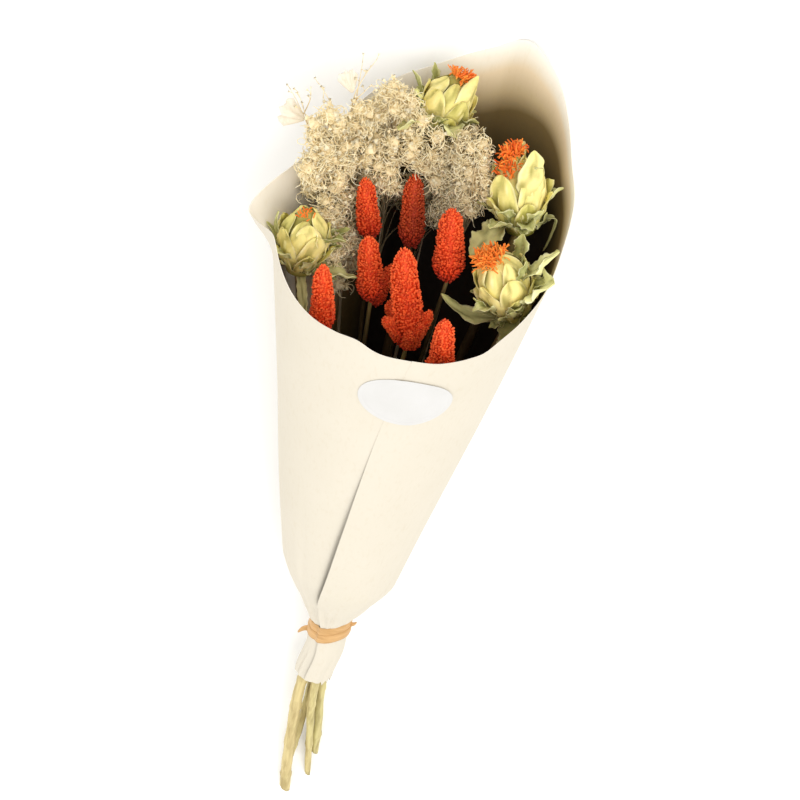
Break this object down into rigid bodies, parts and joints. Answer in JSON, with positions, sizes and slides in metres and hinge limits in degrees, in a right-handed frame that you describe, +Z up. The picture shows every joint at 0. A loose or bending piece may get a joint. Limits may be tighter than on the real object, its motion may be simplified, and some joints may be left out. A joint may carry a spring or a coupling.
{
  "type": "dried flower bouquet in a paper cone wrap",
  "caption": "Bunch of dried safflowers, red spike heads and cream haze sprays, rolled in a cream paper cone and tied at the neck with a band, lying on its side.",
  "frame": {"origin": "centre of the bounding box at its base, on the surface that the bunch lies on", "axes": "+Z up, +Y from the cut stem ends to the mouth of the paper cone, +X to the right seen from the stem ends"},
  "size_m": [0.1524, 0.4626, 0.1239],
  "materials": {
    "wrap_paper": "matt uncoated cream paper with soft fibres",
    "sticker_paper": "smooth white sticker paper with a faint sheen",
    "tan_rubber": "matt natural tan rubber",
    "orange_florets": "dry papery threads",
    "dried_safflower": "dry pale green bracts and straw-coloured stems",
    "red_plume": "dry dyed red grains",
    "cream_haze": "dry bleached twigs with papery tips"
  },
  "bodies": {
    "root": {"paper_wrap": "wrap_paper", "label": "sticker_paper", "tie_band": "tan_rubber", "safflower_florets_1": "orange_florets", "safflower_florets_2": "orange_florets", "safflower_florets_3": "orange_florets", "safflower_florets_4": "orange_florets", "safflower_1": "dried_safflower", "safflower_2": "dried_safflower", "safflower_3": "dried_safflower", "safflower_4": "dried_safflower", "plume_1": "red_plume", "plume_2": "red_plume", "plume_3": "red_plume", "plume_4": "red_plume", "plume_5": "red_plume", "plume_6": "red_plume", "plume_7": "red_plume", "haze_spray_1": "cream_haze", "haze_spray_2": "cream_haze", "haze_spray_3": "cream_haze", "haze_spray_4": "cream_haze", "haze_spray_5": "cream_haze"}
  },
  "joints": []
}
